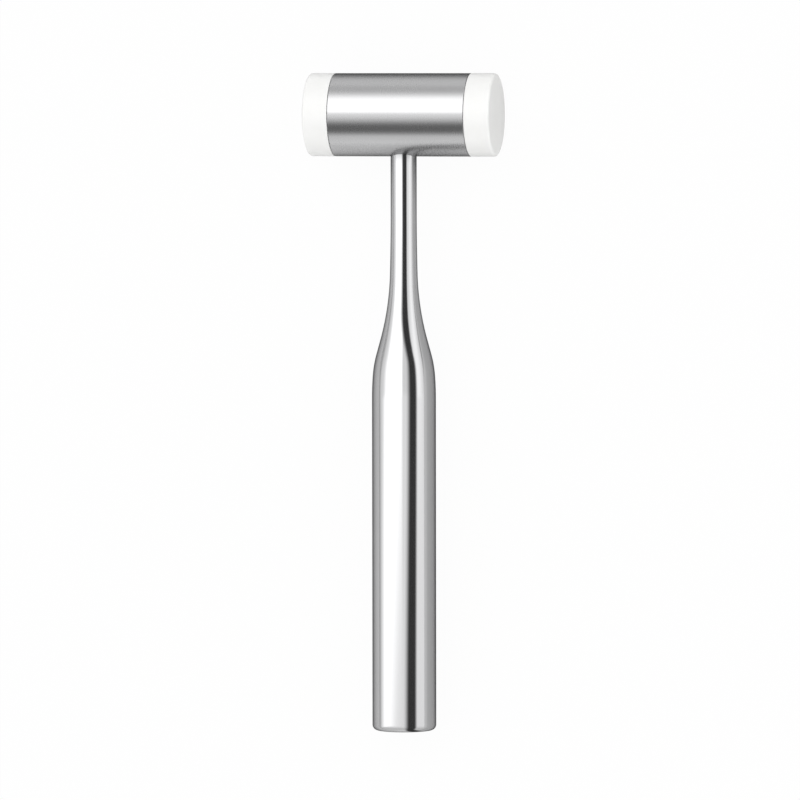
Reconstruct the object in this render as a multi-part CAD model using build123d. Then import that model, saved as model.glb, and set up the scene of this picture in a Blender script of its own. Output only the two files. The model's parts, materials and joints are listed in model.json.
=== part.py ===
from build123d import *
from math import acos, asin, atan2, cos, degrees, hypot, radians, sin, tan
import os

# Surgical mallet, lying on its side as it comes to rest on a tray.
# A satin stainless head body takes a white nylon striking face, screwed into each end.
# A polished stainless handle is seated in the side of the head body. It is one turning: a tenon,
# a slim neck, a flare and a grip, drilled hollow from the butt and closed there by a flush plug.
# Each piece is drawn with the head's centre at the origin, the head along X and the handle
# towards -Y, and one placement then lays the whole mallet on Z = 0. Sizes are in millimetres.

# Head
HEAD_DIAMETER = 25.4
BODY_LENGTH = 42.2
BODY_EDGE_CHAMFER = 0.25
FACE_THICKNESS = 8.0
FACE_EDGE_CHAMFER = 0.5
FACE_SHOULDER_CHAMFER = 0.25

# Screwed joint of each face, its fine thread drawn plain at full diameter
THREAD_DIAMETER = 12.0
THREAD_CLEARANCE = 0.05
SPIGOT_LENGTH = 9.0
SPIGOT_CHAMFER = 1.0
RUNOUT_WIDTH = 1.6
RUNOUT_DEPTH = 1.0
BORE_BEYOND_SPIGOT = 1.2
BORE_MOUTH_CHAMFER = 0.6

# Outside of the handle, with distances along it taken from the head's centre
HANDLE_REACH = 188.4
NECK_DIAMETER = 7.95
NECK_STRAIGHT_END = 29.5
TAPER_RADIUS = 728.0
TAPER_ANGLE = 1.5
FLARE_RADIUS = 85.0
FLARE_STRAIGHT = 4.4
SHOULDER_RADIUS = 34.0
BLEND_RADIUS = 86.0
BLEND_ANGLE = 4.5
GRIP_DIAMETER = 19.55
BUTT_EDGE_RADIUS = 1.7

# Seat of the handle in the head body
NECK_SEAT_DEPTH = 7.0
TENON_DIAMETER = 6.0
TENON_LENGTH = 8.0
TENON_CHAMFER = 0.5
TENON_BOTTOM_GAP = 0.8
SEAT_GAP = 0.02
SEAT_MOUTH_CHAMFER = 0.12

# Hollow of the grip and the plug that closes it
GRIP_WALL = 2.4
HOLLOW_BEYOND_SHOULDER = 5.0
PLUG_THICKNESS = 5.0
PLUG_LEDGE = 0.4
PLUG_GAP = 0.02
PLUG_LEAD_CHAMFER = 0.15
PLUG_RIM_CHAMFER = 0.15

# Included angle of the point that a drill leaves at the bottom of a hole
DRILL_POINT_ANGLE = 118.0

# Worked out from the sizes above
head_radius = HEAD_DIAMETER / 2
body_half = BODY_LENGTH / 2
spigot_radius = THREAD_DIAMETER / 2
face_bore_radius = spigot_radius + THREAD_CLEARANCE
face_bore_depth = SPIGOT_LENGTH + BORE_BEYOND_SPIGOT
neck_radius = NECK_DIAMETER / 2
grip_radius = GRIP_DIAMETER / 2
tenon_radius = TENON_DIAMETER / 2
seat_ledge_y = NECK_SEAT_DEPTH - head_radius
tenon_end_y = seat_ledge_y + TENON_LENGTH
hollow_radius = grip_radius - GRIP_WALL
plug_seat_radius = hollow_radius + PLUG_LEDGE
plug_ledge_y = PLUG_THICKNESS - HANDLE_REACH


def drill_point(radius):
    """Length of the cone that a drill of this radius leaves."""
    return radius / tan(radians(DRILL_POINT_ANGLE / 2))


def flare_angle():
    """Slope of the flare, in degrees, that takes the neck's radius to the grip's radius."""
    taper = radians(TAPER_ANGLE)
    blend = radians(BLEND_ANGLE)
    arc_reach = FLARE_RADIUS + SHOULDER_RADIUS
    level = TAPER_RADIUS * (1 - cos(taper)) + BLEND_RADIUS * (1 - cos(blend))
    level += FLARE_RADIUS * cos(taper) + SHOULDER_RADIUS * cos(blend)
    level -= grip_radius - neck_radius
    slope = acos(level / hypot(arc_reach, FLARE_STRAIGHT)) - atan2(FLARE_STRAIGHT, arc_reach)
    return degrees(slope)


def rest_tilt():
    """Angle, in degrees, by which the handle dips until the rim of its butt reaches Z = 0."""
    along = HANDLE_REACH - BUTT_EDGE_RADIUS
    across = grip_radius - BUTT_EDGE_RADIUS
    drop = head_radius - BUTT_EDGE_RADIUS
    return degrees(asin(drop / hypot(along, across)) - atan2(across, along))


def turned(*outline):
    """Solid of revolution about Y, from edges that close an outline on the +X side."""
    return revolve(make_face(outline), Axis.Y)


def handle_side():
    """Outer side of the handle, as tangent lines and arcs from the seat's ledge to the butt."""
    slope = flare_angle()
    neck = Line((neck_radius, seat_ledge_y), (neck_radius, -NECK_STRAIGHT_END))
    taper = JernArc(neck @ 1, neck % 1, TAPER_RADIUS, TAPER_ANGLE)
    flare = JernArc(taper @ 1, taper % 1, FLARE_RADIUS, slope - TAPER_ANGLE)
    straight = Line(flare @ 1, flare @ 1 + FLARE_STRAIGHT * (flare % 1))
    shoulder = JernArc(straight @ 1, straight % 1, SHOULDER_RADIUS, BLEND_ANGLE - slope)
    blend = JernArc(shoulder @ 1, shoulder % 1, BLEND_RADIUS, -BLEND_ANGLE)
    grip = Line(blend @ 1, (grip_radius, BUTT_EDGE_RADIUS - HANDLE_REACH))
    butt_edge = JernArc(grip @ 1, grip % 1, BUTT_EDGE_RADIUS, -90)
    return neck, taper, flare, straight, shoulder, blend, grip, butt_edge


def handle():
    """Tenon, neck, flare and grip in one turning, drilled from the butt and seated for a plug."""
    side = handle_side()
    grip_start_y = (side[-2] @ 0).Y
    hollow_end_y = grip_start_y + HOLLOW_BEYOND_SHOULDER
    tenon = Polyline(
        (0, tenon_end_y),
        (tenon_radius - TENON_CHAMFER, tenon_end_y),
        (tenon_radius, tenon_end_y - TENON_CHAMFER),
        (tenon_radius, seat_ledge_y),
        side[0] @ 0,
    )
    hollow = Polyline(
        side[-1] @ 1,
        (plug_seat_radius, -HANDLE_REACH),
        (plug_seat_radius, plug_ledge_y),
        (hollow_radius, plug_ledge_y),
        (hollow_radius, hollow_end_y),
        (0, hollow_end_y + drill_point(hollow_radius)),
        (0, tenon_end_y),
    )
    return turned(tenon, *side, hollow)


def end_plug():
    """Disc that rests on the ledge inside the butt and lies flush with its end."""
    radius = plug_seat_radius - PLUG_GAP
    return turned(
        Polyline(
            (0, -HANDLE_REACH),
            (radius - PLUG_RIM_CHAMFER, -HANDLE_REACH),
            (radius, PLUG_RIM_CHAMFER - HANDLE_REACH),
            (radius, plug_ledge_y - PLUG_LEAD_CHAMFER),
            (radius - PLUG_LEAD_CHAMFER, plug_ledge_y),
            (0, plug_ledge_y),
            close=True,
        )
    )


def handle_seat():
    """Stepped hole that the neck and tenon fill, bored from beyond the head's side."""
    bottom_y = tenon_end_y + TENON_BOTTOM_GAP
    return turned(
        Polyline(
            (0, bottom_y + drill_point(tenon_radius + SEAT_GAP)),
            (tenon_radius + SEAT_GAP, bottom_y),
            (tenon_radius + SEAT_GAP, seat_ledge_y),
            (neck_radius + SEAT_GAP, seat_ledge_y),
            (neck_radius + SEAT_GAP, -HEAD_DIAMETER),
            (0, -HEAD_DIAMETER),
            close=True,
        )
    )


def face_bore():
    """Tapped hole for a face's spigot, with its mouth at Y = 0 and its point below."""
    return turned(
        Polyline(
            (0, 0),
            (face_bore_radius + BORE_MOUTH_CHAMFER, 0),
            (face_bore_radius, -BORE_MOUTH_CHAMFER),
            (face_bore_radius, -face_bore_depth),
            (0, -face_bore_depth - drill_point(face_bore_radius)),
            close=True,
        )
    )


def striking_face():
    """Nylon disc above Y = 0, with a bevelled striking edge, and its spigot below."""
    runout_radius = spigot_radius - RUNOUT_DEPTH
    return turned(
        Polyline(
            (0, FACE_THICKNESS),
            (head_radius - FACE_EDGE_CHAMFER, FACE_THICKNESS),
            (head_radius, FACE_THICKNESS - FACE_EDGE_CHAMFER),
            (head_radius, FACE_SHOULDER_CHAMFER),
            (head_radius - FACE_SHOULDER_CHAMFER, 0),
            (runout_radius, 0),
            (runout_radius, RUNOUT_DEPTH - RUNOUT_WIDTH),
            (spigot_radius, -RUNOUT_WIDTH),
            (spigot_radius, SPIGOT_CHAMFER - SPIGOT_LENGTH),
            (spigot_radius - SPIGOT_CHAMFER, -SPIGOT_LENGTH),
            (0, -SPIGOT_LENGTH),
            close=True,
        )
    )


def at_body_end(piece, side):
    """Bring a piece's Y = 0 plane to the end of the head body at +X or, for side -1, at -X."""
    return Pos(side * body_half, 0, 0) * Rot(0, 0, -90 * side) * piece


def is_seat_mouth(edge):
    """True for the saddle-shaped edge where the handle's seat opens in the head's side."""
    curved = edge.geom_type not in (GeomType.LINE, GeomType.CIRCLE)
    return curved and edge.center().Y < seat_ledge_y


def head_body():
    """Cylinder along X with a tapped bore in each end and the handle's seat in its side."""
    body = Rot(0, 90, 0) * Cylinder(head_radius, BODY_LENGTH)
    body = chamfer(body.edges().filter_by(GeomType.CIRCLE), BODY_EDGE_CHAMFER)
    for side in (-1, 1):
        body -= at_body_end(face_bore(), side)
    body -= handle_seat()
    return chamfer(body.edges().filter_by(is_seat_mouth), SEAT_MOUTH_CHAMFER)


def rest_placement():
    """Move that lays the mallet on Z = 0, centred over the origin."""
    tilt = rest_tilt()
    rear = (HANDLE_REACH - BUTT_EDGE_RADIUS) * cos(radians(tilt)) + BUTT_EDGE_RADIUS
    rear += (grip_radius - BUTT_EDGE_RADIUS) * sin(radians(tilt))
    return Pos(0, (rear - head_radius) / 2, head_radius) * Rot(tilt, 0, 0)


pieces = {
    "head_body": head_body(),
    "face_left": at_body_end(striking_face(), -1),
    "face_right": at_body_end(striking_face(), 1),
    "handle": handle(),
    "end_plug": end_plug(),
}

os.makedirs("parts", exist_ok=True)
for name, piece in pieces.items():
    export_step(rest_placement() * piece, f"parts/{name}.step")
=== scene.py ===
"""Looks of a surgical mallet: a satin steel head with white nylon faces and a polished handle.

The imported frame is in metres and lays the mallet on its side, on a floor at Z = 0. Each piece is
turned here in the maker's frame, in millimetres: the head's centre at the origin, the head along
X and the handle towards -Y. Bench.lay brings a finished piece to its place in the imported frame.
"""

import json
import logging
import math
from dataclasses import dataclass
from enum import Enum

import bmesh
import bpy
from mathutils import Matrix, Vector


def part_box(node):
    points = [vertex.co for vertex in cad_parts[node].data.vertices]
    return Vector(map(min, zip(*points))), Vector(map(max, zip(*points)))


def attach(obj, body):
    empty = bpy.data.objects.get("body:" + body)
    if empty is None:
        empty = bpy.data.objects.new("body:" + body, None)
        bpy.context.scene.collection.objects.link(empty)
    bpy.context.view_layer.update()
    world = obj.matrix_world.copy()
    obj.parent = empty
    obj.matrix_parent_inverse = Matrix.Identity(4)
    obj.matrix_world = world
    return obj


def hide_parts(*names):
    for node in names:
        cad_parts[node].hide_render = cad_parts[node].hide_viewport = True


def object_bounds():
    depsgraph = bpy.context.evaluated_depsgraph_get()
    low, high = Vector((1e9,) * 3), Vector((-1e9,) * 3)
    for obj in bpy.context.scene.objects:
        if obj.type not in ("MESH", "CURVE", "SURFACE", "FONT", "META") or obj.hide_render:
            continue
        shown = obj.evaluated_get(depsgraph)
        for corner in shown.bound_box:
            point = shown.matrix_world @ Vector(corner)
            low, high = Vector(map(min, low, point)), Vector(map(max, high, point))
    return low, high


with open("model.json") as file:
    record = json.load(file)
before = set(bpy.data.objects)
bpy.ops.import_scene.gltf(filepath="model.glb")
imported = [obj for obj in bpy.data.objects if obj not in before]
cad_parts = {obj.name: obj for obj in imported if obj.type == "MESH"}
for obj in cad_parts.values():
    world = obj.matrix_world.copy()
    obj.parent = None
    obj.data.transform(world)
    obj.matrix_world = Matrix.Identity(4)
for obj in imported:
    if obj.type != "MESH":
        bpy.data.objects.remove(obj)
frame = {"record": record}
cad_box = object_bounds()

MM = 0.001  # one millimetre in metres
SEGMENTS = 256  # faces round each turned piece
SHARP_ANGLE = 32.0  # degrees from which an edge isn't shaded over
MERGE_DISTANCE = 0.0001  # millimetres within which two points of a turned piece are one
DRILL_POINT_ANGLE = 118.0  # degrees that a drill's point includes
BLUE_OF_STEEL = 1.01  # blue that steel throws back, as a multiple of its red
log = logging.getLogger("mallet")


class Side(Enum):
    """The two ends of the head, by the sign of their direction along X."""

    LEFT = -1
    RIGHT = 1


class Slot(Enum):
    """The record's material slots."""

    SATIN = "satin_steel"
    POLISHED = "polished_steel"
    NYLON = "nylon"


def drill_point(radius: float) -> float:
    """Give the length of the cone that a drill of this radius leaves."""
    return radius / math.tan(math.radians(DRILL_POINT_ANGLE / 2))


def even(grey: float) -> tuple[float, float, float, float]:
    """Give a colour without any tint."""
    return (grey, grey, grey, 1.0)


def show(name: str, mesh: bmesh.types.BMesh) -> bpy.types.Object:
    """Make an object of the scene from a finished mesh, which is used up.

    Args:
        name: Name of the object and of its mesh.
        mesh: The mesh.

    Returns:
        The object.
    """
    data = bpy.data.meshes.new(name)
    mesh.to_mesh(data)
    mesh.free()
    shown = bpy.data.objects.new(name, data)
    bpy.context.scene.collection.objects.link(shown)
    return shown


# Shader maths


class Signal:
    """A shader socket that Python arithmetic can be written on.

    Args:
        board: The node board that the socket belongs to.
        socket: The output socket that carries the value.
    """

    def __init__(self, board: "Board", socket: bpy.types.NodeSocket) -> None:
        self.board = board
        self.socket = socket

    def _maths(self, operation: str, *values: "Signal | float") -> "Signal":
        """Add one Math node that works on the given values."""
        return self.board.add("ShaderNodeMath", {"operation": operation}, dict(enumerate(values)))

    def __add__(self, other: "Signal | float") -> "Signal":
        """Add two values."""
        return self._maths("ADD", self, other)

    def __sub__(self, other: "Signal | float") -> "Signal":
        """Take a value from this one."""
        return self._maths("SUBTRACT", self, other)

    def __rsub__(self, other: float) -> "Signal":
        """Take this value from a number."""
        return self._maths("SUBTRACT", other, self)

    def __mul__(self, other: "Signal | float") -> "Signal":
        """Multiply two values."""
        return self._maths("MULTIPLY", self, other)

    __radd__ = __add__
    __rmul__ = __mul__

    def length_with(self, other: "Signal") -> "Signal":
        """Give the distance that two values at right angles span."""
        return self._maths("SQRT", self * self + other * other)

    def size(self) -> "Signal":
        """Give the value without its sign."""
        return self._maths("ABSOLUTE", self)

    def rise(self) -> "Signal":
        """Give the angle, in degrees, whose sine this is."""
        return self._maths("ARCSINE", self) * math.degrees(1)

    def bearing(self, other: "Signal") -> "Signal":
        """Give the angle, in degrees, of this value over another, right round the circle."""
        return self._maths("ARCTAN2", self, other) * math.degrees(1)

    def ramp(self, start: float, end: float, low: float = 0.0, high: float = 1.0) -> "Signal":
        """Carry the value smoothly from one range to another.

        Args:
            start: Value at which the result is low.
            end: Value at which the result is high.
            low: Result at the start and before it.
            high: Result at the end and past it.

        Returns:
            The carried value.
        """
        values = {0: self, 1: start, 2: end, 3: low, 4: high}
        return self.board.add("ShaderNodeMapRange", {"interpolation_type": "SMOOTHSTEP"}, values)

    def edge(self, place: float, blur: float) -> "Signal":
        """Go from 0 to 1 at a place, or from 1 to 0 where the blur is negative.

        Args:
            place: Value at which the result is a half.
            blur: Width of the change.

        Returns:
            The result.
        """
        half = abs(blur) / 2
        rising = blur > 0
        return self.ramp(place - half, place + half, float(not rising), float(rising))


class Board:
    """A shader node tree, with one method that makes any node.

    Args:
        tree: The node tree of a material or of the world, which is emptied first.
    """

    def __init__(self, tree: bpy.types.NodeTree) -> None:
        self.tree = tree
        tree.nodes.clear()

    def add(self, kind: str, settings: dict | None = None, inputs: dict | None = None,
            output: int | str = 0) -> Signal | None:
        """Make a node.

        Args:
            kind: The node's type name.
            settings: Properties of the node, which are set first.
            inputs: Values or signals for its sockets, by number or name.
            output: The output socket to give back, by number or name.

        Returns:
            The chosen output, or nothing for a node that has none.
        """
        node = self.tree.nodes.new(kind)
        for name, value in (settings or {}).items():
            setattr(node, name, value)
        for name, value in (inputs or {}).items():
            if isinstance(value, Signal):
                self.tree.links.new(value.socket, node.inputs[name])
            else:
                node.inputs[name].default_value = value
        return Signal(self, node.outputs[output]) if node.outputs else None

    def split(self, vector: Signal) -> list[Signal]:
        """Give the three parts of a vector."""
        first = self.add("ShaderNodeSeparateXYZ", inputs={0: vector})
        return [Signal(self, socket) for socket in first.socket.node.outputs]

    def place(self, centre: Vector, tilt: float = 0.0) -> Signal:
        """Give Object coordinates from a centre, in metres, on axes tilted about X.

        Args:
            centre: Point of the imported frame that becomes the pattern's origin.
            tilt: Angle, in radians, by which the pattern is tilted.

        Returns:
            The coordinates as a vector.
        """
        source = self.add("ShaderNodeTexCoord", output="Object")
        inputs = {"Vector": source, "Location": centre, "Rotation": (tilt, 0.0, 0.0)}
        return self.add("ShaderNodeMapping", {"vector_type": "TEXTURE"}, inputs)

    def noise(self, parts: tuple, scale: float, detail: float = 2.0) -> Signal:
        """Give noise about 0.5 at a point.

        Args:
            parts: The point's three coordinates, each a signal or a number.
            scale: Features per metre.
            detail: Number of finer layers.

        Returns:
            The noise.
        """
        point = self.add("ShaderNodeCombineXYZ", inputs=dict(enumerate(parts)))
        inputs = {"Vector": point, "Scale": scale, "Detail": detail}
        return self.add("ShaderNodeTexNoise", inputs=inputs)

    def bump(self, height: Signal, distance: float) -> Signal:
        """Give a normal pushed about by a height, 1 of which stands for a distance in metres."""
        return self.add("ShaderNodeBump", inputs={"Height": height, "Distance": distance})

    def principled(self, inputs: dict) -> Signal:
        """Make the standard surface shader."""
        return self.add("ShaderNodeBsdfPrincipled", inputs=inputs)

    def steel(self, grey: float, edge: float, roughness: Signal, normal: Signal) -> Signal:
        """Make the shader of bare stainless steel.

        Args:
            grey: How much light the metal throws back.
            edge: Tint of the metal seen edge on.
            roughness: Its roughness.
            normal: Its normal, pushed about by its finish.

        Returns:
            The shader.
        """
        return self.principled({
            "Base Color": (grey, grey, grey * BLUE_OF_STEEL, 1.0),
            "Metallic": 1.0,
            "Specular Tint": even(edge),
            "Roughness": roughness,
            "Normal": normal,
        })

    def end(self, shader: Signal, kind: str = "ShaderNodeOutputMaterial") -> None:
        """Send a shader to the surface output."""
        self.add(kind, inputs={"Surface": shader})


# Finishes


class Finish:
    """A named surface finish, from which a material is made."""

    name = "finish"

    def material(self) -> bpy.types.Material:
        """Make the material.

        Returns:
            The material, wired.
        """
        made = bpy.data.materials.new(self.name)
        made.use_nodes = True
        self.wire(Board(made.node_tree))
        return made

    def wire(self, board: Board) -> None:
        """Lay out the material's nodes."""
        raise NotImplementedError


@dataclass(frozen=True)
class SatinSteel(Finish):
    """Stainless steel with the fine rings that an abrasive band leaves round the head.

    Args:
        centre: The head's centre, in metres.
        grey: How much light the metal throws back.
        edge: Tint of the metal seen edge on.
        roughness: Middle roughness.
        unevenness: How far the rings and the cloud each shift the roughness.
        ring_pitch: Width of a typical ring, in metres.
        ring_depth: Height of the rings, in metres.
        ring_break: How far a ring changes along its way round, as a share of its pitch.
        cloud_scale: Features of the cloud per metre.
    """

    centre: Vector
    grey: float = 0.66
    edge: float = 0.45
    roughness: float = 0.27
    unevenness: float = 0.03
    ring_pitch: float = 0.00012
    ring_depth: float = 0.0000001
    ring_break: float = 0.02
    cloud_scale: float = 90.0
    name = "satin_steel_rings"

    def wire(self, board: Board) -> None:
        """Rings across the head's axis, a little uneven, with a faint cloud in the polish.

        Args:
            board: The material's board.
        """
        x, y, z = board.split(board.place(self.centre))
        rings = board.noise((x, y * self.ring_break, z * self.ring_break), 1 / self.ring_pitch)
        cloud = board.noise((x, y, z), self.cloud_scale, detail=3.0)
        unevenness = (rings - 0.5) * self.unevenness + (cloud - 0.5) * self.unevenness
        roughness = self.roughness + unevenness
        normal = board.bump(rings, self.ring_depth)
        board.end(board.steel(self.grey, self.edge, roughness, normal))


@dataclass(frozen=True)
class PolishedSteel(Finish):
    """Stainless steel buffed nearly to a mirror, with the last hairlines of the mop round it.

    Args:
        centre: The head's centre, in metres.
        tilt: Dip of the handle, in radians.
        grey: How much light the metal throws back.
        edge: Tint of the metal seen edge on.
        roughness: Middle roughness.
        unevenness: How far the hairlines shift the roughness.
        hairline_pitch: Width of a typical hairline, in metres.
        hairline_depth: Height of the hairlines, in metres.
        hairline_break: How far a hairline changes along its way, as a share of its pitch.
        ripple_scale: Ripples per metre across the handle.
        ripple_depth: Height of the long ripples that polishing leaves, in metres.
        ripple_stretch: How much of their change the ripples show along the handle.
    """

    centre: Vector
    tilt: float
    grey: float = 0.66
    edge: float = 0.2
    roughness: float = 0.10
    unevenness: float = 0.04
    hairline_pitch: float = 0.00009
    hairline_depth: float = 0.00000012
    hairline_break: float = 0.03
    ripple_scale: float = 120.0
    ripple_depth: float = 0.000004
    ripple_stretch: float = 0.15
    name = "polished_steel_mirror"

    def wire(self, board: Board) -> None:
        """Hairlines round the handle over a long, very shallow ripple.

        Args:
            board: The material's board.
        """
        x, y, z = board.split(board.place(self.centre, self.tilt))
        across = (x * self.hairline_break, y, z * self.hairline_break)
        hairlines = board.noise(across, 1 / self.hairline_pitch)
        ripple = board.noise((x, y * self.ripple_stretch, z), self.ripple_scale, detail=1.0)
        height = hairlines * self.hairline_depth + ripple * self.ripple_depth
        roughness = self.roughness + (hairlines - 0.5) * self.unevenness
        board.end(board.steel(self.grey, self.edge, roughness, board.bump(height, 1.0)))


@dataclass(frozen=True)
class TurnedNylon(Finish):
    """White nylon with the fine rings of the turning tool on its end and its side.

    Args:
        centre: The head's centre, in metres.
        white: Colour of the nylon.
        cloud_white: Colour of the faint clouds in it.
        cloud_scale: Features of the clouds per metre.
        cloud_range: Noise at which a cloud starts and is full.
        roughness: Middle roughness.
        unevenness: How far the rings shift the roughness.
        feed: Distance between the rings of the tool, in metres.
        ring_depth: Height of the rings, in metres.
        refraction: Refractive index of nylon.
        glow_share: Share of the light that spreads under the surface.
        glow_depth: How far it spreads, in metres.
    """

    centre: Vector
    white: tuple[float, float, float] = (0.86, 0.86, 0.8471)
    cloud_white: tuple[float, float, float] = (0.8772, 0.8772, 0.8686)
    cloud_scale: float = 160.0
    cloud_range: tuple[float, float] = (0.3, 0.7)
    roughness: float = 0.38
    unevenness: float = 0.12
    feed: float = 0.00018
    ring_depth: float = 0.000003
    refraction: float = 1.53
    glow_share: float = 0.15
    glow_depth: float = 0.0008
    name = "turned_white_nylon"

    def wire(self, board: Board) -> None:
        """Tool rings by the distance along the axis and out from it, over faint clouding.

        Args:
            board: The material's board.
        """
        x, y, z = board.split(board.place(self.centre))
        radius = y.length_with(z)
        rings = board.noise((x, radius, 0.0), 1 / self.feed, detail=1.0)
        cloud = board.noise((x, y, z), self.cloud_scale, detail=3.0)
        full = cloud.ramp(*self.cloud_range)
        tint = {0: full, 6: (*self.white, 1.0), 7: (*self.cloud_white, 1.0)}
        surface = {
            "Base Color": board.add("ShaderNodeMix", {"data_type": "RGBA"}, tint, 2),
            "Roughness": self.roughness + (rings - 0.5) * self.unevenness,
            "IOR": self.refraction,
            "Subsurface Weight": self.glow_share,
            "Subsurface Radius": (1.0, 1.0, 1.0),
            "Subsurface Scale": self.glow_depth,
            "Normal": board.bump(rings, self.ring_depth),
        }
        board.end(board.principled(surface))


@dataclass(frozen=True)
class PaleFloor(Finish):
    """Matt white floor that keeps a faint shadow, and has a deeper painted shadow that only the
    steel sees.

    Args:
        centre: The head's centre, in metres.
        white: Lightness of the floor under the studio's light.
        camera_share: How far the floor is plain white to the camera.
        dim: Painted shade: how much darker the whole floor is painted for glossy rays, so that it
            looks darker in the steel.
        head_shade: Depth of the shadow painted near the head, which only the steel sees.
        head_shift: How far beyond the head's centre that painted shadow lies, in metres.
        head_reach: Distances at which the painted shadow starts to fade and ends, in metres.
        side_shade: Depth of the shadow painted to the right of the handle, which only the steel
            sees.
        side_start: Distances to the right at which that shadow starts and is full, in metres.
        side_end: Distances at which it starts to fade and ends, in metres.
    """

    centre: Vector
    white: float = 0.785
    camera_share: float = 0.955
    dim: float = 0.2
    head_shade: float = 0.72
    head_shift: float = 0.009
    head_reach: tuple[float, float] = (0.008, 0.042)
    side_shade: float = 0.23
    side_start: tuple[float, float] = (0.010, 0.030)
    side_end: tuple[float, float] = (0.045, 0.110)
    name = "pale_floor"

    def wire(self, board: Board) -> None:
        """Diffuse white with a painted shadow near the mallet for glossy rays, and plain white to
        the camera.

        Args:
            board: The material's board.
        """
        ray = "ShaderNodeLightPath"
        x, y, _ = board.split(board.place(self.centre))
        # Painted shadow for glossy rays only: darker near the head, to the right of the handle and
        # a little everywhere, set by place alone.
        head = (y - self.head_shift).size().ramp(*self.head_reach, self.head_shade, 0.0)
        side = x.ramp(*self.side_start, 0.0, self.side_shade) * x.ramp(*self.side_end, 1.0, 0.0)
        shade = 1 - (1 - head) * (1 - side) * (1 - self.dim)
        matt = board.add("ShaderNodeBsdfDiffuse", inputs={"Color": even(self.white)})
        # Black that the painted shadow mixes into the floor where the steel sees it.
        dark = board.add("ShaderNodeEmission", inputs={"Strength": 0.0})
        glow = board.add("ShaderNodeEmission", inputs={"Strength": 1.0})
        shade = shade * board.add(ray, output="Is Glossy Ray")
        shaded = board.add("ShaderNodeMixShader", inputs={0: shade, 1: matt, 2: dark})
        seen = board.add(ray, output="Is Camera Ray") * self.camera_share
        board.end(board.add("ShaderNodeMixShader", inputs={0: seen, 1: shaded, 2: glow}))


@dataclass(frozen=True)
class ReflectionCard(Finish):
    """Glowing sheet of a studio flag that paints dark or light reflections in the steel; it thins
    out towards its sides and is clear from above.

    Args:
        grey: Brightness of the sheet's own glow, which stands in for the light a cloth would give
            back.
    """

    grey: float = 0.045
    name = "flag_gauze"

    def wire(self, board: Board) -> None:
        """Even glow of the sheet's grey from below, clear from above and where its UV map runs out
        to 0.

        Args:
            board: The material's board.
        """
        cover = board.split(board.add("ShaderNodeUVMap", output="UV"))[0].ramp(0.0, 1.0)
        upper = board.add("ShaderNodeNewGeometry", output="Backfacing")
        clear = board.add("ShaderNodeBsdfTransparent")
        # The sheet glows at its grey whatever light falls on it, and only the steel sees it: a
        # painted reflection.
        cloth = board.add("ShaderNodeEmission", inputs={"Color": even(self.grey)})
        inputs = {0: cover * (1 - upper), 1: clear, 2: cloth}
        board.end(board.add("ShaderNodeMixShader", inputs=inputs))


# Turning and cutting


class Lathe:
    """A turned piece: an outline cut edge by edge on the +X side of Y, then spun about Y.

    Args:
        x: Radius at which the outline starts, in millimetres.
        y: Place along the axis at which it starts.
    """

    def __init__(self, x: float, y: float) -> None:
        self.mesh = bmesh.new()
        self.tip = bmesh.ops.create_vert(self.mesh, co=(x, y, 0.0))["vert"][0]
        self.heading = Vector((1.0, 0.0, 0.0))

    def _grow(self) -> bmesh.types.BMVert:
        """Draw one more edge of the outline, of no length yet."""
        self.tip = bmesh.ops.extrude_vert_indiv(self.mesh, verts=[self.tip])["verts"][0]
        return self.tip

    def to(self, x: float, y: float, steps: int = 1) -> "Lathe":
        """Cut straight to a point.

        Args:
            x: Radius to reach.
            y: Place along the axis to reach.
            steps: Number of rows of faces.

        Returns:
            The lathe, for the next cut.
        """
        way = Vector((x, y, 0.0)) - self.tip.co
        for _ in range(steps):
            bmesh.ops.translate(self.mesh, verts=[self._grow()], vec=way / steps)
        self.heading = way.normalized()
        return self

    def on(self, length: float, steps: int = 1) -> "Lathe":
        """Cut straight on for a length, in a number of rows."""
        target = self.tip.co + self.heading * length
        return self.to(target.x, target.y, steps)

    def arc(self, radius: float, turn: float, steps: int) -> "Lathe":
        """Cut an arc that leaves the last cut without a corner.

        Args:
            radius: Radius of the arc.
            turn: Change of direction in degrees, anticlockwise when positive.
            steps: Number of rows of faces.

        Returns:
            The lathe, for the next cut.
        """
        aside = Vector((-self.heading.y, self.heading.x, 0.0)) * math.copysign(radius, turn)
        centre = self.tip.co + aside
        step = Matrix.Rotation(math.radians(turn / steps), 3, "Z")
        for _ in range(steps):
            bmesh.ops.rotate(self.mesh, verts=[self._grow()], cent=centre, matrix=step)
            self.heading = step @ self.heading
        return self

    def spin(self) -> bmesh.types.BMesh:
        """Spin the outline into a closed solid.

        Returns:
            Its mesh.
        """
        outline = self.mesh.verts[:] + self.mesh.edges[:]
        bmesh.ops.spin(self.mesh, geom=outline, cent=(0, 0, 0), axis=(0, 1, 0), angle=math.tau,
                       steps=SEGMENTS, use_merge=True)
        bmesh.ops.remove_doubles(self.mesh, verts=self.mesh.verts, dist=MERGE_DISTANCE)
        bmesh.ops.recalc_face_normals(self.mesh, faces=self.mesh.faces)
        return self.mesh


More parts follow.
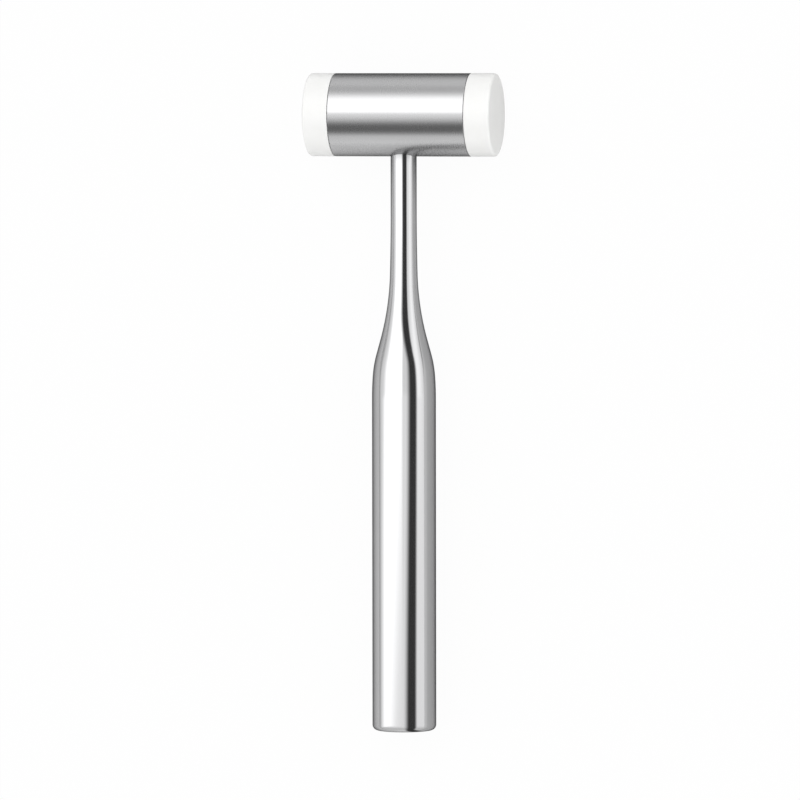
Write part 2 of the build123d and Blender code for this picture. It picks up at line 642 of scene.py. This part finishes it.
@dataclass(frozen=True)
class Thread:
    """A screw thread pressed into the rows of a shank that hangs below Y = 0.

    Args:
        start: Distance from the mouth to the first turn.
        length: Length of the threaded part.
        pitch: Distance between turns.
        depth: Depth of the thread.
        flat: Width of its crest and of its root, as a share of half a pitch.
        run_in: Turns over which it reaches its full depth.
        slack: How far a point may lie from the plain shank and still belong to it.
        rows_per_turn: Rows of faces in each turn.
    """

    start: float
    length: float
    pitch: float = 1.5
    depth: float = 0.9
    flat: float = 0.1
    run_in: float = 0.5
    slack: float = 0.01
    rows_per_turn: int = 12

    @property
    def rows(self) -> int:
        """Number of rows of faces in the threaded part."""
        return round(self.length / self.pitch * self.rows_per_turn)

    def bite(self, place: Vector) -> float:
        """Give the depth of the thread below its crest.

        Args:
            place: A place on the shank.

        Returns:
            The depth there.
        """
        turns = place.y / self.pitch - math.atan2(-place.z, place.x) / math.tau
        flank = abs(turns % 1.0 - 0.5) * 2
        root = min(max((1 - self.flat - flank) / (1 - 2 * self.flat), 0.0), 1.0)
        from_end = min(-self.start - place.y, place.y + self.start + self.length)
        fade = min(max(from_end / self.pitch / self.run_in, 0.0), 1.0)
        return self.depth * root * fade

    def press(self, mesh: bmesh.types.BMesh, radius: float, mouth: Matrix) -> None:
        """Move the rows of a plain shank or bore into the thread.

        Args:
            mesh: The mesh that holds the shank.
            radius: Radius of the plain rows.
            mouth: Place of the shank's own axes in the mesh.
        """
        back = mouth.inverted()
        for vert in mesh.verts:
            place = back @ vert.co
            across = math.hypot(place.x, place.z)
            threaded = 0 < -place.y - self.start < self.length
            if abs(across - radius) > self.slack or not threaded:
                continue
            share = 1 - self.bite(place) / across
            vert.co = mouth @ Vector((place.x * share, place.y, place.z * share))


def cut(mesh: bmesh.types.BMesh, cutter: bmesh.types.BMesh) -> bmesh.types.BMesh:
    """Take one closed mesh away from another.

    Args:
        mesh: The mesh that is cut.
        cutter: The mesh that is taken away.

    Returns:
        What is left, as a new mesh.
    """
    blank, tool = show("blank", mesh), show("tool", cutter)
    modifier = blank.modifiers.new("cut", "BOOLEAN")
    modifier.operation = "DIFFERENCE"
    modifier.solver = "EXACT"
    modifier.object = tool
    left = bmesh.new()
    left.from_object(blank, bpy.context.evaluated_depsgraph_get())
    for used in (blank, tool):
        bpy.data.meshes.remove(used.data)
    return left


@dataclass(frozen=True)
class Bench:
    """Where the maker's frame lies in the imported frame, and how a finished piece gets there.

    Args:
        centre: The head's centre, in metres.
        tilt: Dip of the handle, in radians.
    """

    centre: Vector
    tilt: float

    @property
    def lay(self) -> Matrix:
        """Move from the maker's frame, in millimetres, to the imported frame."""
        turn = Matrix.Rotation(self.tilt, 4, "X")
        return Matrix.Translation(self.centre) @ turn @ Matrix.Scale(MM, 4)

    def deliver(self, name: str, mesh: bmesh.types.BMesh, finish: Finish) -> bpy.types.Object:
        """Shade a mesh, bring it to its place and make it an object.

        Args:
            name: Name of the piece.
            mesh: Its mesh in the maker's frame.
            finish: Its surface finish.

        Returns:
            The object.
        """
        for face in mesh.faces:
            face.smooth = True
        for edge in mesh.edges:
            edge.smooth = edge.is_manifold and edge.calc_face_angle() < math.radians(SHARP_ANGLE)
        bmesh.ops.transform(mesh, matrix=self.lay, verts=mesh.verts)
        piece = show(name, mesh)
        piece.data.materials.append(finish.material())
        return piece


# Pieces


@dataclass(frozen=True)
class FaceFit:
    """The screwed joint of a nylon face, which the head body and the face share.

    Args:
        shank_radius: Radius over the shank's thread.
        shank_length: Length of the shank from the face's shoulder.
        shank_chamfer: Chamfer of its end.
        clearance: Gap between the shank and its bore.
        runout_width: Width of the groove beside the shoulder.
        runout_depth: Depth of that groove.
        bore_beyond_shank: Depth of the bore past the shank's end.
        bore_mouth: Chamfer of the bore's mouth.
    """

    shank_radius: float = 6.0
    shank_length: float = 9.0
    shank_chamfer: float = 1.0
    clearance: float = 0.05
    runout_width: float = 1.6
    runout_depth: float = 1.0
    bore_beyond_shank: float = 1.2
    bore_mouth: float = 0.6

    @property
    def bore_radius(self) -> float:
        """Radius of the bore in the head body."""
        return self.shank_radius + self.clearance

    @property
    def bore_depth(self) -> float:
        """Depth of the bore to the start of its drilled point."""
        return self.shank_length + self.bore_beyond_shank

    @property
    def thread(self) -> Thread:
        """The thread that both parts carry, between the run-out and the shank's chamfer."""
        length = self.shank_length - self.shank_chamfer - self.runout_width
        return Thread(start=self.runout_width, length=length)

    def mouth(self, side: Side, half: float) -> Matrix:
        """Place of the joint's own axes on the head: Y = 0 at the body's end, Y outwards."""
        turn = Matrix.Rotation(math.radians(-90 * side.value), 4, "Z")
        return Matrix.Translation((side.value * half, 0, 0)) @ turn


@dataclass(frozen=True)
class NeckFit:
    """The stepped seat of the handle in the side of the head body.

    Args:
        neck_radius: Radius of the handle's neck.
        ledge_y: Place of the neck's end along the handle's axis.
        tenon_radius: Radius of the tenon past it.
        tenon_length: Length of the tenon.
        tenon_chamfer: Chamfer of its end.
        bottom_gap: Depth of the hole past the tenon's end.
        gap: Gap round the neck and the tenon.
        mouth_width: Width of the tapered mouth round the neck.
        mouth_depth: Depth of that mouth.
    """

    neck_radius: float = 3.975
    ledge_y: float = -5.7
    tenon_radius: float = 3.0
    tenon_length: float = 8.0
    tenon_chamfer: float = 0.5
    bottom_gap: float = 0.8
    gap: float = 0.02
    mouth_width: float = 0.28
    mouth_depth: float = 0.5

    @property
    def tenon_end(self) -> float:
        """Place of the tenon's end along the handle's axis."""
        return self.ledge_y + self.tenon_length


@dataclass
class HeadBody:
    """Satin steel cylinder, bored and tapped at both ends and seated for the handle.

    Args:
        bench: Where the mallet lies.
        face_fit: Joint of the nylon faces.
        neck_fit: Seat of the handle.
        radius: Radius of the body.
        half: Half of its length.
        edge_chamfer: Chamfer of its edges.
        length_rows: Rows of faces along its side.
        drill_reach: How far the drill for the seat stands out past its side.
    """

    bench: Bench
    face_fit: FaceFit
    neck_fit: NeckFit
    radius: float
    half: float
    edge_chamfer: float = 0.08
    length_rows: int = 8
    drill_reach: float = 2.0

    def bored_end(self, lathe: Lathe, side: Side) -> None:
        """Cut one end of the outline, out of the bore at +Y or into the bore at -Y.

        Args:
            lathe: The lathe that the outline is on.
            side: RIGHT for the end at +Y, LEFT for the end at -Y.
        """
        fit = self.face_fit
        deep = fit.runout_width + fit.thread.length
        cuts = [
            (fit.bore_radius, fit.bore_depth, 1),
            (fit.bore_radius, deep, 1),
            (fit.bore_radius, fit.runout_width, fit.thread.rows),
            (fit.bore_radius, fit.bore_mouth, 1),
            (fit.bore_radius + fit.bore_mouth, 0.0, 1),
            (self.radius - self.edge_chamfer, 0.0, 1),
            (self.radius, self.edge_chamfer, 1),
        ]
        if side is Side.LEFT:
            steps = [1] + [stop[2] for stop in cuts[:0:-1]]
            cuts = [(*stop[:2], step) for stop, step in zip(cuts[::-1], steps)]
        for x, depth, steps in cuts:
            lathe.to(x, side.value * (self.half - depth), steps)

    def seat_cutter(self) -> bmesh.types.BMesh:
        """Make the stepped drill for the handle's seat, with a mouth that follows the head.

        Returns:
            Its mesh.
        """
        fit = self.neck_fit
        neck = fit.neck_radius + fit.gap
        tenon = fit.tenon_radius + fit.gap
        bottom = fit.tenon_end + fit.bottom_gap
        lathe = Lathe(0.0, bottom + drill_point(tenon))
        lathe.to(tenon, bottom).to(tenon, fit.ledge_y).to(neck, fit.ledge_y)
        lathe.to(neck, fit.mouth_depth - self.radius)
        lathe.to(neck + fit.mouth_width, -self.radius)
        lathe.to(neck + fit.mouth_width + self.drill_reach, -self.radius - self.drill_reach)
        lathe.to(0.0, -self.radius - self.drill_reach)
        drill = lathe.spin()
        for vert in drill.verts:
            if vert.co.y < fit.ledge_y - fit.gap:
                vert.co.y += self.radius - math.sqrt(self.radius ** 2 - vert.co.z ** 2)
        return drill

    def build(self) -> bpy.types.Object:
        """Turn, tap and seat the body.

        Returns:
            The finished piece.
        """
        tip = self.half - self.face_fit.bore_depth - drill_point(self.face_fit.bore_radius)
        lathe = Lathe(0.0, tip)
        self.bored_end(lathe, Side.RIGHT)
        lathe.to(self.radius, self.edge_chamfer - self.half, self.length_rows)
        self.bored_end(lathe, Side.LEFT)
        mesh = lathe.to(0.0, -tip).spin()
        bmesh.ops.rotate(mesh, verts=mesh.verts, matrix=Matrix.Rotation(-math.pi / 2, 3, "Z"))
        for side in Side:
            mouth = self.face_fit.mouth(side, self.half)
            self.face_fit.thread.press(mesh, self.face_fit.bore_radius, mouth)
        mesh = cut(mesh, self.seat_cutter())
        piece = self.bench.deliver("steel_head", mesh, SatinSteel(self.bench.centre))
        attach(piece, "root")
        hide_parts("head_body")
        return piece


@dataclass
class StrikingFace:
    """White nylon disc with a rounded striking edge and its own screwed shank.

    Args:
        bench: Where the mallet lies.
        fit: Joint of the face.
        side: The end of the head that it sits on.
        radius: Radius of the disc.
        thickness: Thickness of the disc.
        body_half: Half of the head body's length.
        edge_radius: Radius of the striking edge.
        parting_gap: Width of the line that parts the disc from the body.
        parting_depth: Depth of that line.
    """

    bench: Bench
    fit: FaceFit
    side: Side
    radius: float
    thickness: float
    body_half: float
    edge_radius: float = 0.9
    parting_gap: float = 0.18
    parting_depth: float = 1.0

    def build(self) -> bpy.types.Object:
        """Turn the face and screw it on.

        Returns:
            The finished piece.
        """
        fit = self.fit
        neck = fit.shank_radius - fit.runout_depth
        lathe = Lathe(0.0, self.thickness)
        lathe.to(self.radius - self.edge_radius, self.thickness, steps=4)
        lathe.arc(self.edge_radius, -90, steps=12)
        lathe.to(self.radius, self.parting_gap, steps=2)
        lathe.to(self.radius - self.parting_depth, self.parting_gap)
        lathe.to(self.radius - self.parting_depth, 0.0)
        lathe.to(neck, 0.0).to(neck, fit.runout_depth - fit.runout_width)
        lathe.to(fit.shank_radius, -fit.runout_width)
        lathe.to(fit.shank_radius, fit.shank_chamfer - fit.shank_length, fit.thread.rows)
        lathe.to(fit.shank_radius - fit.shank_chamfer, -fit.shank_length)
        mesh = lathe.to(0.0, -fit.shank_length).spin()
        fit.thread.press(mesh, fit.shank_radius, Matrix.Identity(4))
        mouth = fit.mouth(self.side, self.body_half)
        bmesh.ops.transform(mesh, matrix=mouth, verts=mesh.verts)
        end = self.side.name.lower()
        piece = self.bench.deliver(f"nylon_face_{end}", mesh, TurnedNylon(self.bench.centre))
        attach(piece, "root")
        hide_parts(f"face_{end}")
        return piece


@dataclass(frozen=True)
class PlugFit:
    """The seat of the end disc inside the butt.

    Args:
        grip_radius: Radius of the grip.
        wall: Wall of the hollow grip.
        thickness: Thickness of the disc.
        ledge: Width of the ledge that it rests on.
        gap: Gap round the disc.
        chamfer: Chamfer of its edges.
    """

    grip_radius: float
    wall: float = 2.4
    thickness: float = 5.0
    ledge: float = 0.4
    gap: float = 0.02
    chamfer: float = 0.15

    @property
    def hollow_radius(self) -> float:
        """Radius of the hollow."""
        return self.grip_radius - self.wall

    @property
    def seat_radius(self) -> float:
        """Radius of the seat."""
        return self.hollow_radius + self.ledge


@dataclass
class Handle:
    """Polished steel handle in one turning: tenon, slim neck, flare and round grip.

    Args:
        bench: Where the mallet lies.
        neck_fit: Seat of the neck in the head.
        plug_fit: Seat of the end disc.
        reach: Distance from the head's centre to the butt's end.
        neck_end: Distance at which the straight neck ends.
        taper_radius: Radius of the neck's slow taper.
        taper_angle: Slope at the taper's end, in degrees.
        flare_radius: Radius of the flare.
        flare_straight: Length of the straight slope after it.
        shoulder_radius: Radius of the shoulder.
        blend_radius: Radius of the blend into the grip.
        blend_angle: Slope at which the blend takes over, in degrees.
        butt_radius: Radius of the butt's edge.
        guard_rows: Lengths of the short rows that keep the shading of the shoulder's and of
            the butt's arcs off the long grip.
        hollow_beyond_shoulder: Depth of the hollow past the grip's start.
    """

    bench: Bench
    neck_fit: NeckFit
    plug_fit: PlugFit
    reach: float
    neck_end: float = 29.5
    taper_radius: float = 728.0
    taper_angle: float = 1.5
    flare_radius: float = 85.0
    flare_straight: float = 4.4
    shoulder_radius: float = 34.0
    blend_radius: float = 86.0
    blend_angle: float = 4.5
    butt_radius: float = 1.7
    guard_rows: tuple[float, float] = (0.5, 0.3)
    hollow_beyond_shoulder: float = 5.0

    @property
    def flare_angle(self) -> float:
        """Slope of the flare, in degrees, that takes the neck's radius to the grip's."""
        taper = math.radians(self.taper_angle)
        blend = math.radians(self.blend_angle)
        arcs = self.flare_radius + self.shoulder_radius
        level = self.taper_radius * (1 - math.cos(taper))
        level += self.blend_radius * (1 - math.cos(blend))
        level += self.flare_radius * math.cos(taper) + self.shoulder_radius * math.cos(blend)
        level -= self.plug_fit.grip_radius - self.neck_fit.neck_radius
        slope = math.acos(level / math.hypot(arcs, self.flare_straight))
        return math.degrees(slope - math.atan2(self.flare_straight, arcs))

    def build(self) -> bpy.types.Object:
        """Turn the handle and drill its hollow.

        Returns:
            The finished piece.
        """
        fit, plug = self.neck_fit, self.plug_fit
        slope = self.flare_angle
        after_shoulder, before_butt = self.guard_rows
        lathe = Lathe(0.0, fit.tenon_end)
        lathe.to(fit.tenon_radius - fit.tenon_chamfer, fit.tenon_end)
        lathe.to(fit.tenon_radius, fit.tenon_end - fit.tenon_chamfer)
        lathe.to(fit.tenon_radius, fit.ledge_y).to(fit.neck_radius, fit.ledge_y)
        lathe.to(fit.neck_radius, -self.neck_end, steps=8)
        lathe.arc(self.taper_radius, self.taper_angle, steps=12)
        lathe.arc(self.flare_radius, slope - self.taper_angle, steps=32)
        lathe.on(self.flare_straight, steps=4)
        lathe.arc(self.shoulder_radius, self.blend_angle - slope, steps=24)
        lathe.arc(self.blend_radius, -self.blend_angle, steps=16)
        grip_start = lathe.tip.co.y
        butt_start = self.butt_radius - self.reach
        lathe.to(plug.grip_radius, grip_start - after_shoulder)
        lathe.to(plug.grip_radius, butt_start + before_butt, steps=24)
        lathe.on(before_butt).arc(self.butt_radius, -90, steps=20)
        ledge_y = plug.thickness - self.reach
        hollow_end = grip_start + self.hollow_beyond_shoulder
        lathe.to(plug.seat_radius, -self.reach).to(plug.seat_radius, ledge_y)
        lathe.to(plug.hollow_radius, ledge_y).to(plug.hollow_radius, hollow_end, steps=8)
        mesh = lathe.to(0.0, hollow_end + drill_point(plug.hollow_radius)).spin()
        finish = PolishedSteel(self.bench.centre, self.bench.tilt)
        piece = self.bench.deliver("steel_handle", mesh, finish)
        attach(piece, "root")
        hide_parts("handle")
        return piece


@dataclass
class EndDisc:
    """Steel disc that closes the hollow handle, flush with its butt.

    Args:
        bench: Where the mallet lies.
        fit: Seat of the disc.
        reach: Distance from the head's centre to the butt's end.
    """

    bench: Bench
    fit: PlugFit
    reach: float

    def build(self) -> bpy.types.Object:
        """Turn the disc in its place.

        Returns:
            The finished piece.
        """
        radius = self.fit.seat_radius - self.fit.gap
        rim = self.fit.chamfer
        inner = self.fit.thickness - self.reach
        lathe = Lathe(0.0, -self.reach).to(radius - rim, -self.reach, steps=4)
        lathe.to(radius, rim - self.reach).to(radius, inner - rim)
        mesh = lathe.to(radius - rim, inner).to(0.0, inner).spin()
        finish = PolishedSteel(self.bench.centre, self.bench.tilt)
        piece = self.bench.deliver("steel_end_disc", mesh, finish)
        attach(piece, "root")
        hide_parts("end_plug")
        return piece


# Studio

# Places across, in millimetres, at which the glowing sheet of a flag starts, is full, is still full
# and ends
Lines = tuple[float, float, float, float]

OVER_NECK: Lines = (-0.07, 0.96, 2.62, 3.42)
OVER_FLARE: Lines = (-1.7, 1.84, 6.5, 9.1)
OVER_SHOULDER: Lines = (3.3, 6.2, 9.7, 13.9)
OVER_BUTT: Lines = (2.0, 4.8, 8.5, 12.5)
LOW_OVER_HEAD: Lines = (-15.5, -7.8, -5.7, 0.8)
MIDDLE_OF_HEAD: Lines = (-2.4, -1.0, 0.4, 1.8)


@dataclass(frozen=True)
class Patch:
    """An even part of the studio's sky with soft edges.

    Args:
        glow: Its brightness, where 1 shows a colour as it is written.
        bearings: Its two sides, in degrees from straight up towards +X.
        rises: Its two ends, in degrees towards +Y.
        blurs: Widths of the soft left and right sides and of the low and high ends, in degrees.
        lean: How far its ends climb with each degree of bearing.
    """

    glow: float
    bearings: tuple[float, float]
    rises: tuple[float, float]
    blurs: tuple[float, float, float, float]
    lean: float = 0.0

    def mask(self, bearing: Signal, rise: Signal) -> Signal:
        """Give 1 inside the patch and 0 outside it.

        Args:
            bearing: Bearing of the direction that is looked in.
            rise: Its rise.

        Returns:
            The mask.
        """
        level = rise - bearing * self.lean
        left, right, low, high = self.blurs
        across = bearing.edge(self.bearings[0], left) * bearing.edge(self.bearings[1], -right)
        return across * level.edge(self.rises[0], low) * level.edge(self.rises[1], -high)


@dataclass(frozen=True)
class Station:
    """Where the glowing sheet of a flag runs at one distance along it, in millimetres.

    Args:
        along: Distance from the head's centre.
        height: Height above the handle's axis.
        lines: Places across at which the cloth starts, is full, is still full, and ends.
    """

    along: float
    height: float
    lines: Lines


@dataclass(frozen=True)
class Flag:
    """A glowing sheet close over the steel, led through its stations, which only the steel shows: a
    painted reflection.

    Args:
        cloth: Its glowing material, which sets the painted reflection's brightness.
        stations: Its stations, from its near end to its far end.
        turn: Angle, in degrees, by which it is turned from the handle towards the head.
        rows: Number of rows of faces.
        slack: How far a point may lie from a line of the cloth and still belong to it.
    """

    cloth: ReflectionCard
    stations: tuple[Station, ...]
    turn: float = 0.0
    rows: int = 160
    slack: float = 0.001

    def row(self, along: float) -> list[Vector]:
        """Give a row of the cloth, with a smooth change between stations.

        Args:
            along: Distance along the flag.

        Returns:
            The row's four points.
        """
        pairs = list(zip(self.stations, self.stations[1:]))
        near, far = next((pair for pair in pairs if along <= pair[1].along), pairs[-1])
        share = min(max((along - near.along) / (far.along - near.along), 0.0), 1.0)
        share = share * share * (3 - 2 * share)
        height = near.height + (far.height - near.height) * share
        places = [low + (high - low) * share for low, high in zip(near.lines, far.lines)]
        return [Vector((place, -along, height)) for place in places]

    def mesh(self) -> bmesh.types.BMesh:
        """Make the cloth, face down, with a UV map that is 1 where it is full and 0 at its sides.

        Returns:
            Its mesh.
        """
        mesh = bmesh.new()
        start, end = self.stations[0].along, self.stations[-1].along
        row = [bmesh.ops.create_vert(mesh, co=co)["vert"][0] for co in self.row(start)]
        edges = [mesh.edges.new(pair) for pair in zip(row, row[1:])]
        step = (end - start) / self.rows
        for number in range(1, self.rows + 1):
            grown = bmesh.ops.extrude_edge_only(mesh, edges=edges)["geom"]
            edges = [part for part in grown if isinstance(part, bmesh.types.BMEdge)]
            row = [part for part in grown if isinstance(part, bmesh.types.BMVert)]
            row.sort(key=lambda vert: vert.co.x)
            for vert, co in zip(row, self.row(start + step * number)):
                vert.co = co
        mesh.normal_update()
        upturned = [face for face in mesh.faces if face.normal.z > 0]
        bmesh.ops.reverse_faces(mesh, faces=upturned)
        cover = mesh.loops.layers.uv.new("cover")
        for vert in mesh.verts:
            _, full_from, full_to, _ = self.row(-vert.co.y)
            inside = full_from.x - self.slack <= vert.co.x <= full_to.x + self.slack
            for loop in vert.link_loops:
                loop[cover].uv = (float(inside), 0.0)
        return mesh


def over_head(cloth: ReflectionCard, height: float, lines: Lines) -> Flag:
    """Give a flag of one width that hangs over the whole length of the head.

    Args:
        cloth: Its glowing material, which sets the painted reflection's brightness.
        height: Height above the head's axis.
        lines: Its lines, with the near side of the head, where the handle is, counted negative.

    Returns:
        The flag.
    """
    past_the_head = 45.0
    ends = (Station(side.value * past_the_head, height, lines) for side in Side)
    return Flag(cloth, tuple(ends), turn=90.0, rows=1)


@dataclass
class Studio:
    """The floor, the sky of soft light and the glowing sheets round the mallet that paint
    reflections in the steel.

    Args:
        bench: Where the mallet lies.
        floor_radius: Radius of the floor, in metres.
        floor_corners: Number of corners on its rim.
        floor_gap: Distance of the floor below the mallet, in metres.
        handle_flag: Black sheet, seen only in the steel, that paints the dark reflected band down
            the handle.
        head_flag: Dark sheet, seen only in the steel, that paints the grey reflected band along the
            head.
        head_scrim: White glowing sheet, seen only in the steel, that paints the end of the head's
            bright reflected band above the grey one.
        base_glow: Brightness of the sky where no patch is.
        apron: Broad light from the front and from above.
        low_gap: Darker part of it, which the lower half of the head shows.
        ledge: Lighter strip in it, which the grip shows beside its bright band.
        top_gap: Dark gap that the head shows above its bright band.
        left_wall: Dark wall at the left.
        fill: Lamp at the right, which the neck and the head show.
        key_foot: Lower edge of the main lamp, which reaches further left.
        key: Main lamp, above and left.
        matt_glow: Light that only matt surfaces get, from the two lamps below.
        side_lamp: Bearing from which the first of them shines, and its blur.
        front_lamp: Rise below which the second shines, and its blur.
    """

    bench: Bench
    floor_radius: float = 12.0
    floor_corners: int = 96
    floor_gap: float = 0.00002
    handle_flag: Flag = Flag(ReflectionCard(), (
        Station(11.0, 5.2, OVER_NECK),
        Station(34.0, 5.2, OVER_NECK),
        Station(57.0, 11.5, OVER_FLARE),
        Station(75.0, 11.5, OVER_SHOULDER),
        Station(194.0, 11.5, OVER_BUTT),
        Station(206.0, -9.0, OVER_BUTT),
    ))
    head_flag: Flag = over_head(ReflectionCard(grey=0.12), 15.5, LOW_OVER_HEAD)
    head_scrim: Flag = over_head(ReflectionCard(grey=0.99), 16.0, MIDDLE_OF_HEAD)
    base_glow: float = 0.7
    apron: Patch = Patch(0.93, (-80, 98), (-120, 60), (10, 10, 10, 20))
    low_gap: Patch = Patch(0.72, (-80, 98), (-73, -20), (10, 10, 18, 10))
    ledge: Patch = Patch(1.06, (-60, 98), (-6.6, -2), (10, 20, 2, 2))
    top_gap: Patch = Patch(0.5, (-80, 80), (60, 78), (10, 10, 10, 14))
    left_wall: Patch = Patch(0.5, (-130, -84), (-60, 60), (6, 6, 14, 14))
    fill: Patch = Patch(1.36, (56, 80), (-3.4, 54), (34, 26, 1, 14))
    key_foot: Patch = Patch(1.67, (-70, 6), (-5, 0), (24, 8, 1, 1), 0.05)
    key: Patch = Patch(1.67, (-61, 6), (-1, 50), (20, 8, 1, 12), 0.05)
    matt_glow: float = 0.3
    side_lamp: tuple[float, float] = (50, 30)
    front_lamp: tuple[float, float] = (-35, -30)

    @property
    def patches(self) -> list[Patch]:
        """The parts of the sky, in the order in which they are painted."""
        broad = [self.apron, self.low_gap, self.ledge, self.top_gap, self.left_wall]
        return broad + [self.fill, self.key_foot, self.key]

    def build(self) -> None:
        """Set up the floor, the flags and the sky."""
        self.floor()
        self.hang("handle_flag", self.handle_flag)
        self.hang("head_flag", self.head_flag)
        self.hang("head_scrim", self.head_scrim)
        self.sky()

    def floor(self) -> None:
        """Lay the floor just under the mallet."""
        mesh = bmesh.new()
        bmesh.ops.create_circle(
            mesh, cap_ends=True, segments=self.floor_corners, radius=self.floor_radius)
        bmesh.ops.translate(mesh, verts=mesh.verts, vec=(0, 0, -self.floor_gap))
        floor = show("floor", mesh)
        floor.data.materials.append(PaleFloor(self.bench.centre).material())

    def hang(self, name: str, flag: Flag) -> None:
        """Hang a flag, seen by nothing but glossy rays, so that it only paints a reflection in the
        steel.

        Args:
            name: Name of the flag.
            flag: The flag.
        """
        mesh = flag.mesh()
        place = self.bench.lay @ Matrix.Rotation(math.radians(flag.turn), 4, "Z")
        bmesh.ops.transform(mesh, matrix=place, verts=mesh.verts)
        hung = show(name, mesh)
        hung.data.materials.append(flag.cloth.material())
        # Seen only in the steel: the flag paints a reflection and lights nothing.
        hung.visible_camera = False
        hung.visible_diffuse = False
        hung.visible_transmission = False
        hung.visible_shadow = False

    def sky(self) -> None:
        """Paint the patches over the sky's even glow, and show plain white to the camera.

        The steel shows the lamps themselves, so glossy rays see the painted sky.
        """
        world = bpy.data.worlds.new("studio")
        world.use_nodes = True
        bpy.context.scene.world = world
        board = Board(world.node_tree)
        x, y, z = board.split(board.add("ShaderNodeTexCoord", output="Generated"))
        bearing, rise = x.bearing(z), y.rise()
        glow = self.base_glow
        for patch in self.patches:
            mask = patch.mask(bearing, rise)
            glow = (1 - mask) * glow + mask * patch.glow
        ray = "ShaderNodeLightPath"
        low_lamps = bearing.edge(*self.side_lamp) + rise.edge(*self.front_lamp)
        glow = glow + low_lamps * board.add(ray, output="Is Diffuse Ray") * self.matt_glow
        lit = board.add("ShaderNodeBackground", inputs={"Color": glow})
        plain = board.add("ShaderNodeBackground", inputs={"Color": even(1.0)})
        seen = board.add(ray, output="Is Camera Ray") + board.add(ray, output="Is Transmission Ray")
        both = {0: seen, 1: lit, 2: plain}
        board.end(board.add("ShaderNodeMixShader", inputs=both), "ShaderNodeOutputWorld")


@dataclass(frozen=True)
class Viewpoint:
    """The photograph's camera, in the maker's frame.

    Args:
        turns: Roll, pitch and yaw of the mallet before the camera, in degrees.
        aim: Place of the head's centre in the camera's picture plane, in millimetres.
        distance: Distance of the camera from that plane.
        focal_pixels: Focal length over the size of a picture element.
        picture: Width of the picture, in picture elements.
        sensor: Width of the camera's sensor, in millimetres.
        sight: How far the camera sees, in metres.
    """

    turns: tuple[float, float, float] = (0.081, 2.939, -12.558)
    aim: tuple[float, float] = (1.0847, 87.0443)
    distance: float = 2229.68
    focal_pixels: float = 7305.4
    picture: int = 800
    sensor: float = 36.0
    sight: float = 100.0

    def build(self, bench: Bench) -> None:
        """Put the camera in its place.

        Args:
            bench: Where the mallet lies.
        """
        data = bpy.data.cameras.new("camera")
        data.sensor_width = self.sensor
        data.lens = self.focal_pixels / self.picture * self.sensor
        data.clip_end = self.sight
        camera = bpy.data.objects.new("camera", data)
        bpy.context.scene.collection.objects.link(camera)
        before = Matrix.Identity(4)
        for turn, axis in zip(self.turns, "ZXY"):
            before = before @ Matrix.Rotation(math.radians(turn), 4, axis)
        spot = Matrix.Translation((-self.aim[0], -self.aim[1], self.distance))
        place = bench.lay @ before.inverted() @ spot
        camera.matrix_world = Matrix.LocRotScale(place.translation, place.to_quaternion(), None)
        bpy.context.scene.camera = camera


def mount(name: str) -> dict:
    """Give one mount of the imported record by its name."""
    return next(found for found in frame["record"]["mounts"] if found["name"] == name)


def read_bench() -> Bench:
    """Find the head's centre and the handle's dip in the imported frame.

    Returns:
        The bench that the pieces are laid on.
    """
    low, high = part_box("head_body")
    axis = mount("grip")["axis"]
    return Bench(centre=(low + high) / 2, tilt=math.atan2(-axis[2], -axis[1]))


def main() -> None:
    """Build the mallet piece by piece, then the studio and the camera."""
    logging.basicConfig(level=logging.INFO, format="%(name)s: %(message)s")
    bpy.context.scene.view_settings.view_transform = "Standard"
    bench = read_bench()
    low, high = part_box("head_body")
    body_half = (high.x - low.x) / 2 / MM
    radius = (high.z - low.z) / 2 / MM
    thickness = (cad_box[1].x - high.x) / MM
    reach = (Vector(mount("butt")["pos_m"]) - bench.centre).length / MM
    face_fit, neck_fit = FaceFit(), NeckFit()
    plug_fit = PlugFit(mount("grip")["dims"]["r_mm"])
    makers = [
        HeadBody(bench, face_fit, neck_fit, radius, body_half),
        *(StrikingFace(bench, face_fit, side, radius, thickness, body_half) for side in Side),
        Handle(bench, neck_fit, plug_fit, reach),
        EndDisc(bench, plug_fit, reach),
    ]
    for maker in makers:
        piece = maker.build()
        log.info("%s: %d faces", piece.name, len(piece.data.polygons))
    Studio(bench).build()
    Viewpoint().build(bench)


if __name__ == "__main__":
    main()
